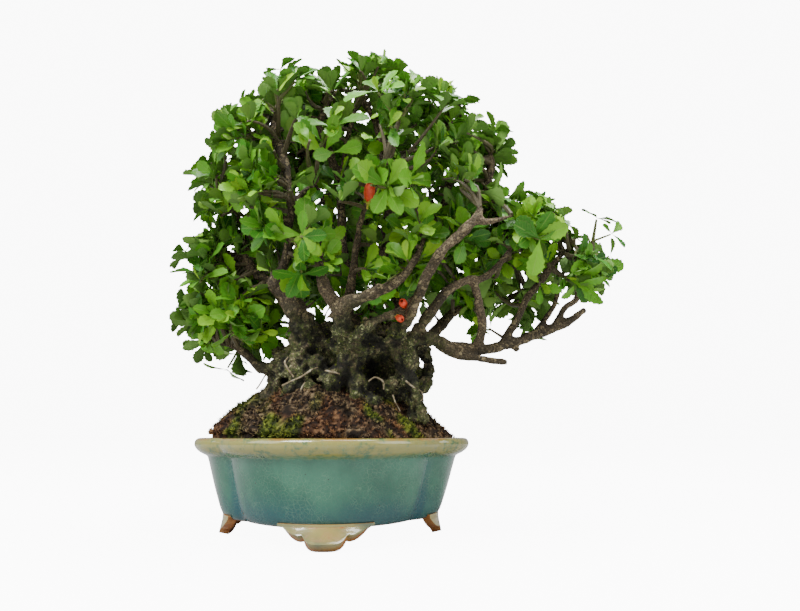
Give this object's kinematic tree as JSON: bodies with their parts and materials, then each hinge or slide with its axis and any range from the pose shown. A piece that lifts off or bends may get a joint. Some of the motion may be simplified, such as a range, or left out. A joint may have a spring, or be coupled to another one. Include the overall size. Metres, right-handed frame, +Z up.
{
  "type": "chojubai flowering quince bonsai",
  "caption": "Old clump-style flowering quince bonsai in full leaf with red flower buds, on a moss mound in a lobed blue-green glazed pot on cloud feet; stands on a table or a shelf.",
  "frame": {"origin": "on the surface that the feet stand on, under the middle of the bounds of pot and tree together", "axes": "+Z up; +X to the right and +Y to the back as the picture shows the tree from its front"},
  "size_m": [0.4092, 0.2416, 0.4359],
  "materials": {
    "glaze": "glossy blue-green glaze with fine crazing, thin and ochre on the lip, bare tan clay under the feet",
    "screen": "matte black",
    "soil": "matt baked-clay grains",
    "moss": "fibrous brown moss with green patches",
    "bark": "rough grey-brown flaking bark",
    "leaf": "glossy green leaf",
    "petal": "satin orange-red petal",
    "calyx": "satin yellow-green"
  },
  "bodies": {
    "root": {"pot": "glaze", "drain_screen_left": "screen", "drain_screen_right": "screen", "potting_soil": "soil", "moss_mound": "moss", "trunk_and_branches": "bark", "bloom_1_petals": "petal", "bloom_1_calyx": "calyx", "bloom_2_petals": "petal", "bloom_2_calyx": "calyx", "bloom_3_petals": "petal", "bloom_3_calyx": "calyx", "spray_01": "leaf", "spray_02": "leaf", "spray_03": "leaf", "spray_04": "leaf", "spray_05": "leaf", "spray_06": "leaf", "spray_07": "leaf", "spray_08": "leaf", "spray_09": "leaf", "spray_10": "leaf", "spray_11": "leaf", "spray_12": "leaf", "spray_13": "leaf", "spray_14": "leaf", "spray_15": "leaf", "spray_16": "leaf", "spray_17": "leaf", "spray_18": "leaf", "spray_19": "leaf", "spray_20": "leaf", "spray_21": "leaf", "spray_22": "leaf", "spray_23": "leaf", "spray_24": "leaf", "spray_25": "leaf", "spray_26": "leaf", "spray_27": "leaf", "spray_28": "leaf", "spray_29": "leaf", "spray_30": "leaf", "spray_31": "leaf", "spray_32": "leaf", "spray_33": "leaf", "spray_34": "leaf", "spray_35": "leaf", "spray_36": "leaf", "spray_37": "leaf", "spray_38": "leaf", "spray_39": "leaf", "spray_40": "leaf", "spray_41": "leaf", "spray_42": "leaf", "spray_43": "leaf", "spray_44": "leaf", "spray_45": "leaf", "spray_46": "leaf", "spray_47": "leaf"}
  },
  "joints": []
}
